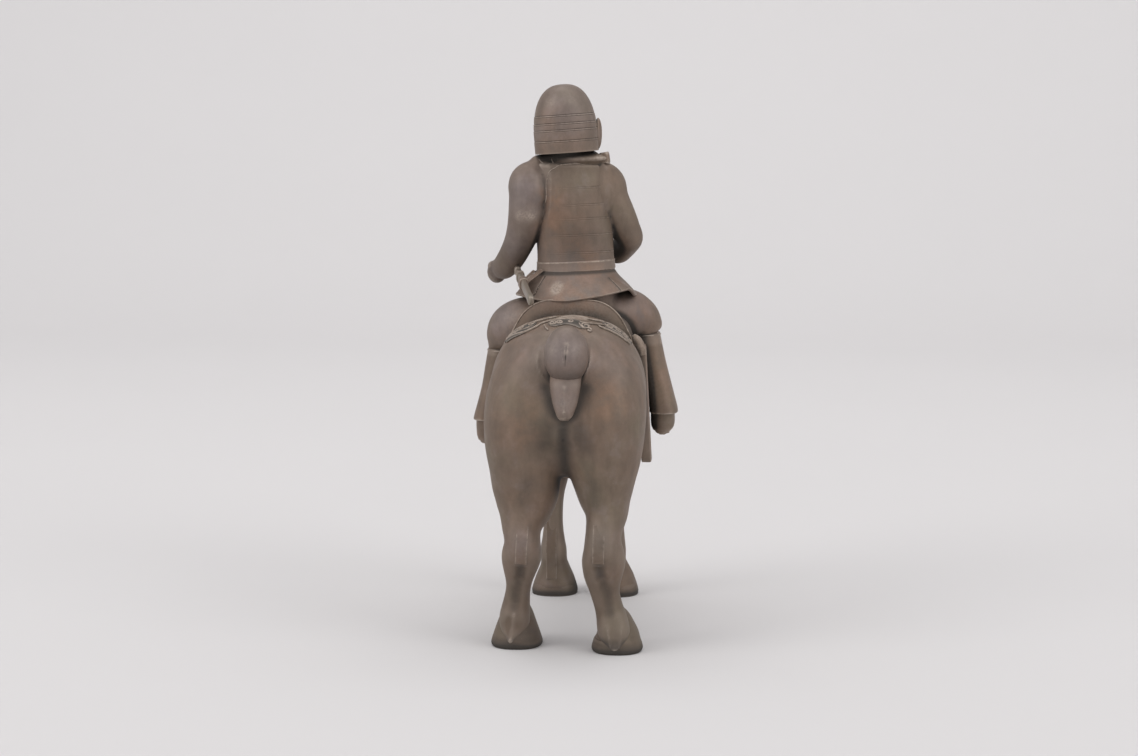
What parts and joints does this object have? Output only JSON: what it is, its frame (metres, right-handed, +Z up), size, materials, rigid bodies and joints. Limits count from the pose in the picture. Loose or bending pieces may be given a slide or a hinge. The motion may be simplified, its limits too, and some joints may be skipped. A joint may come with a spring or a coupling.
{
  "type": "equestrian statue",
  "caption": "Cast bronze statue of an armoured rider in a domed helmet, seated on a stocky saddled horse that stands on its hooves with a bound tail.",
  "frame": {"origin": "on the ground, under the middle of the whole figure's box", "axes": "+Z up, -Y the way the horse looks, +X towards the horse's left side"},
  "size_m": [0.1722, 0.3334, 0.4517],
  "materials": {
    "horse_bronze": "satin brown patina, rubbed and pitted",
    "rider_bronze": "satin dark brown patina, worn on the edges",
    "sword_metal": "dull paler metal"
  },
  "bodies": {
    "root": {"horse": "horse_bronze", "rider": "rider_bronze", "sword": "sword_metal"}
  },
  "joints": []
}
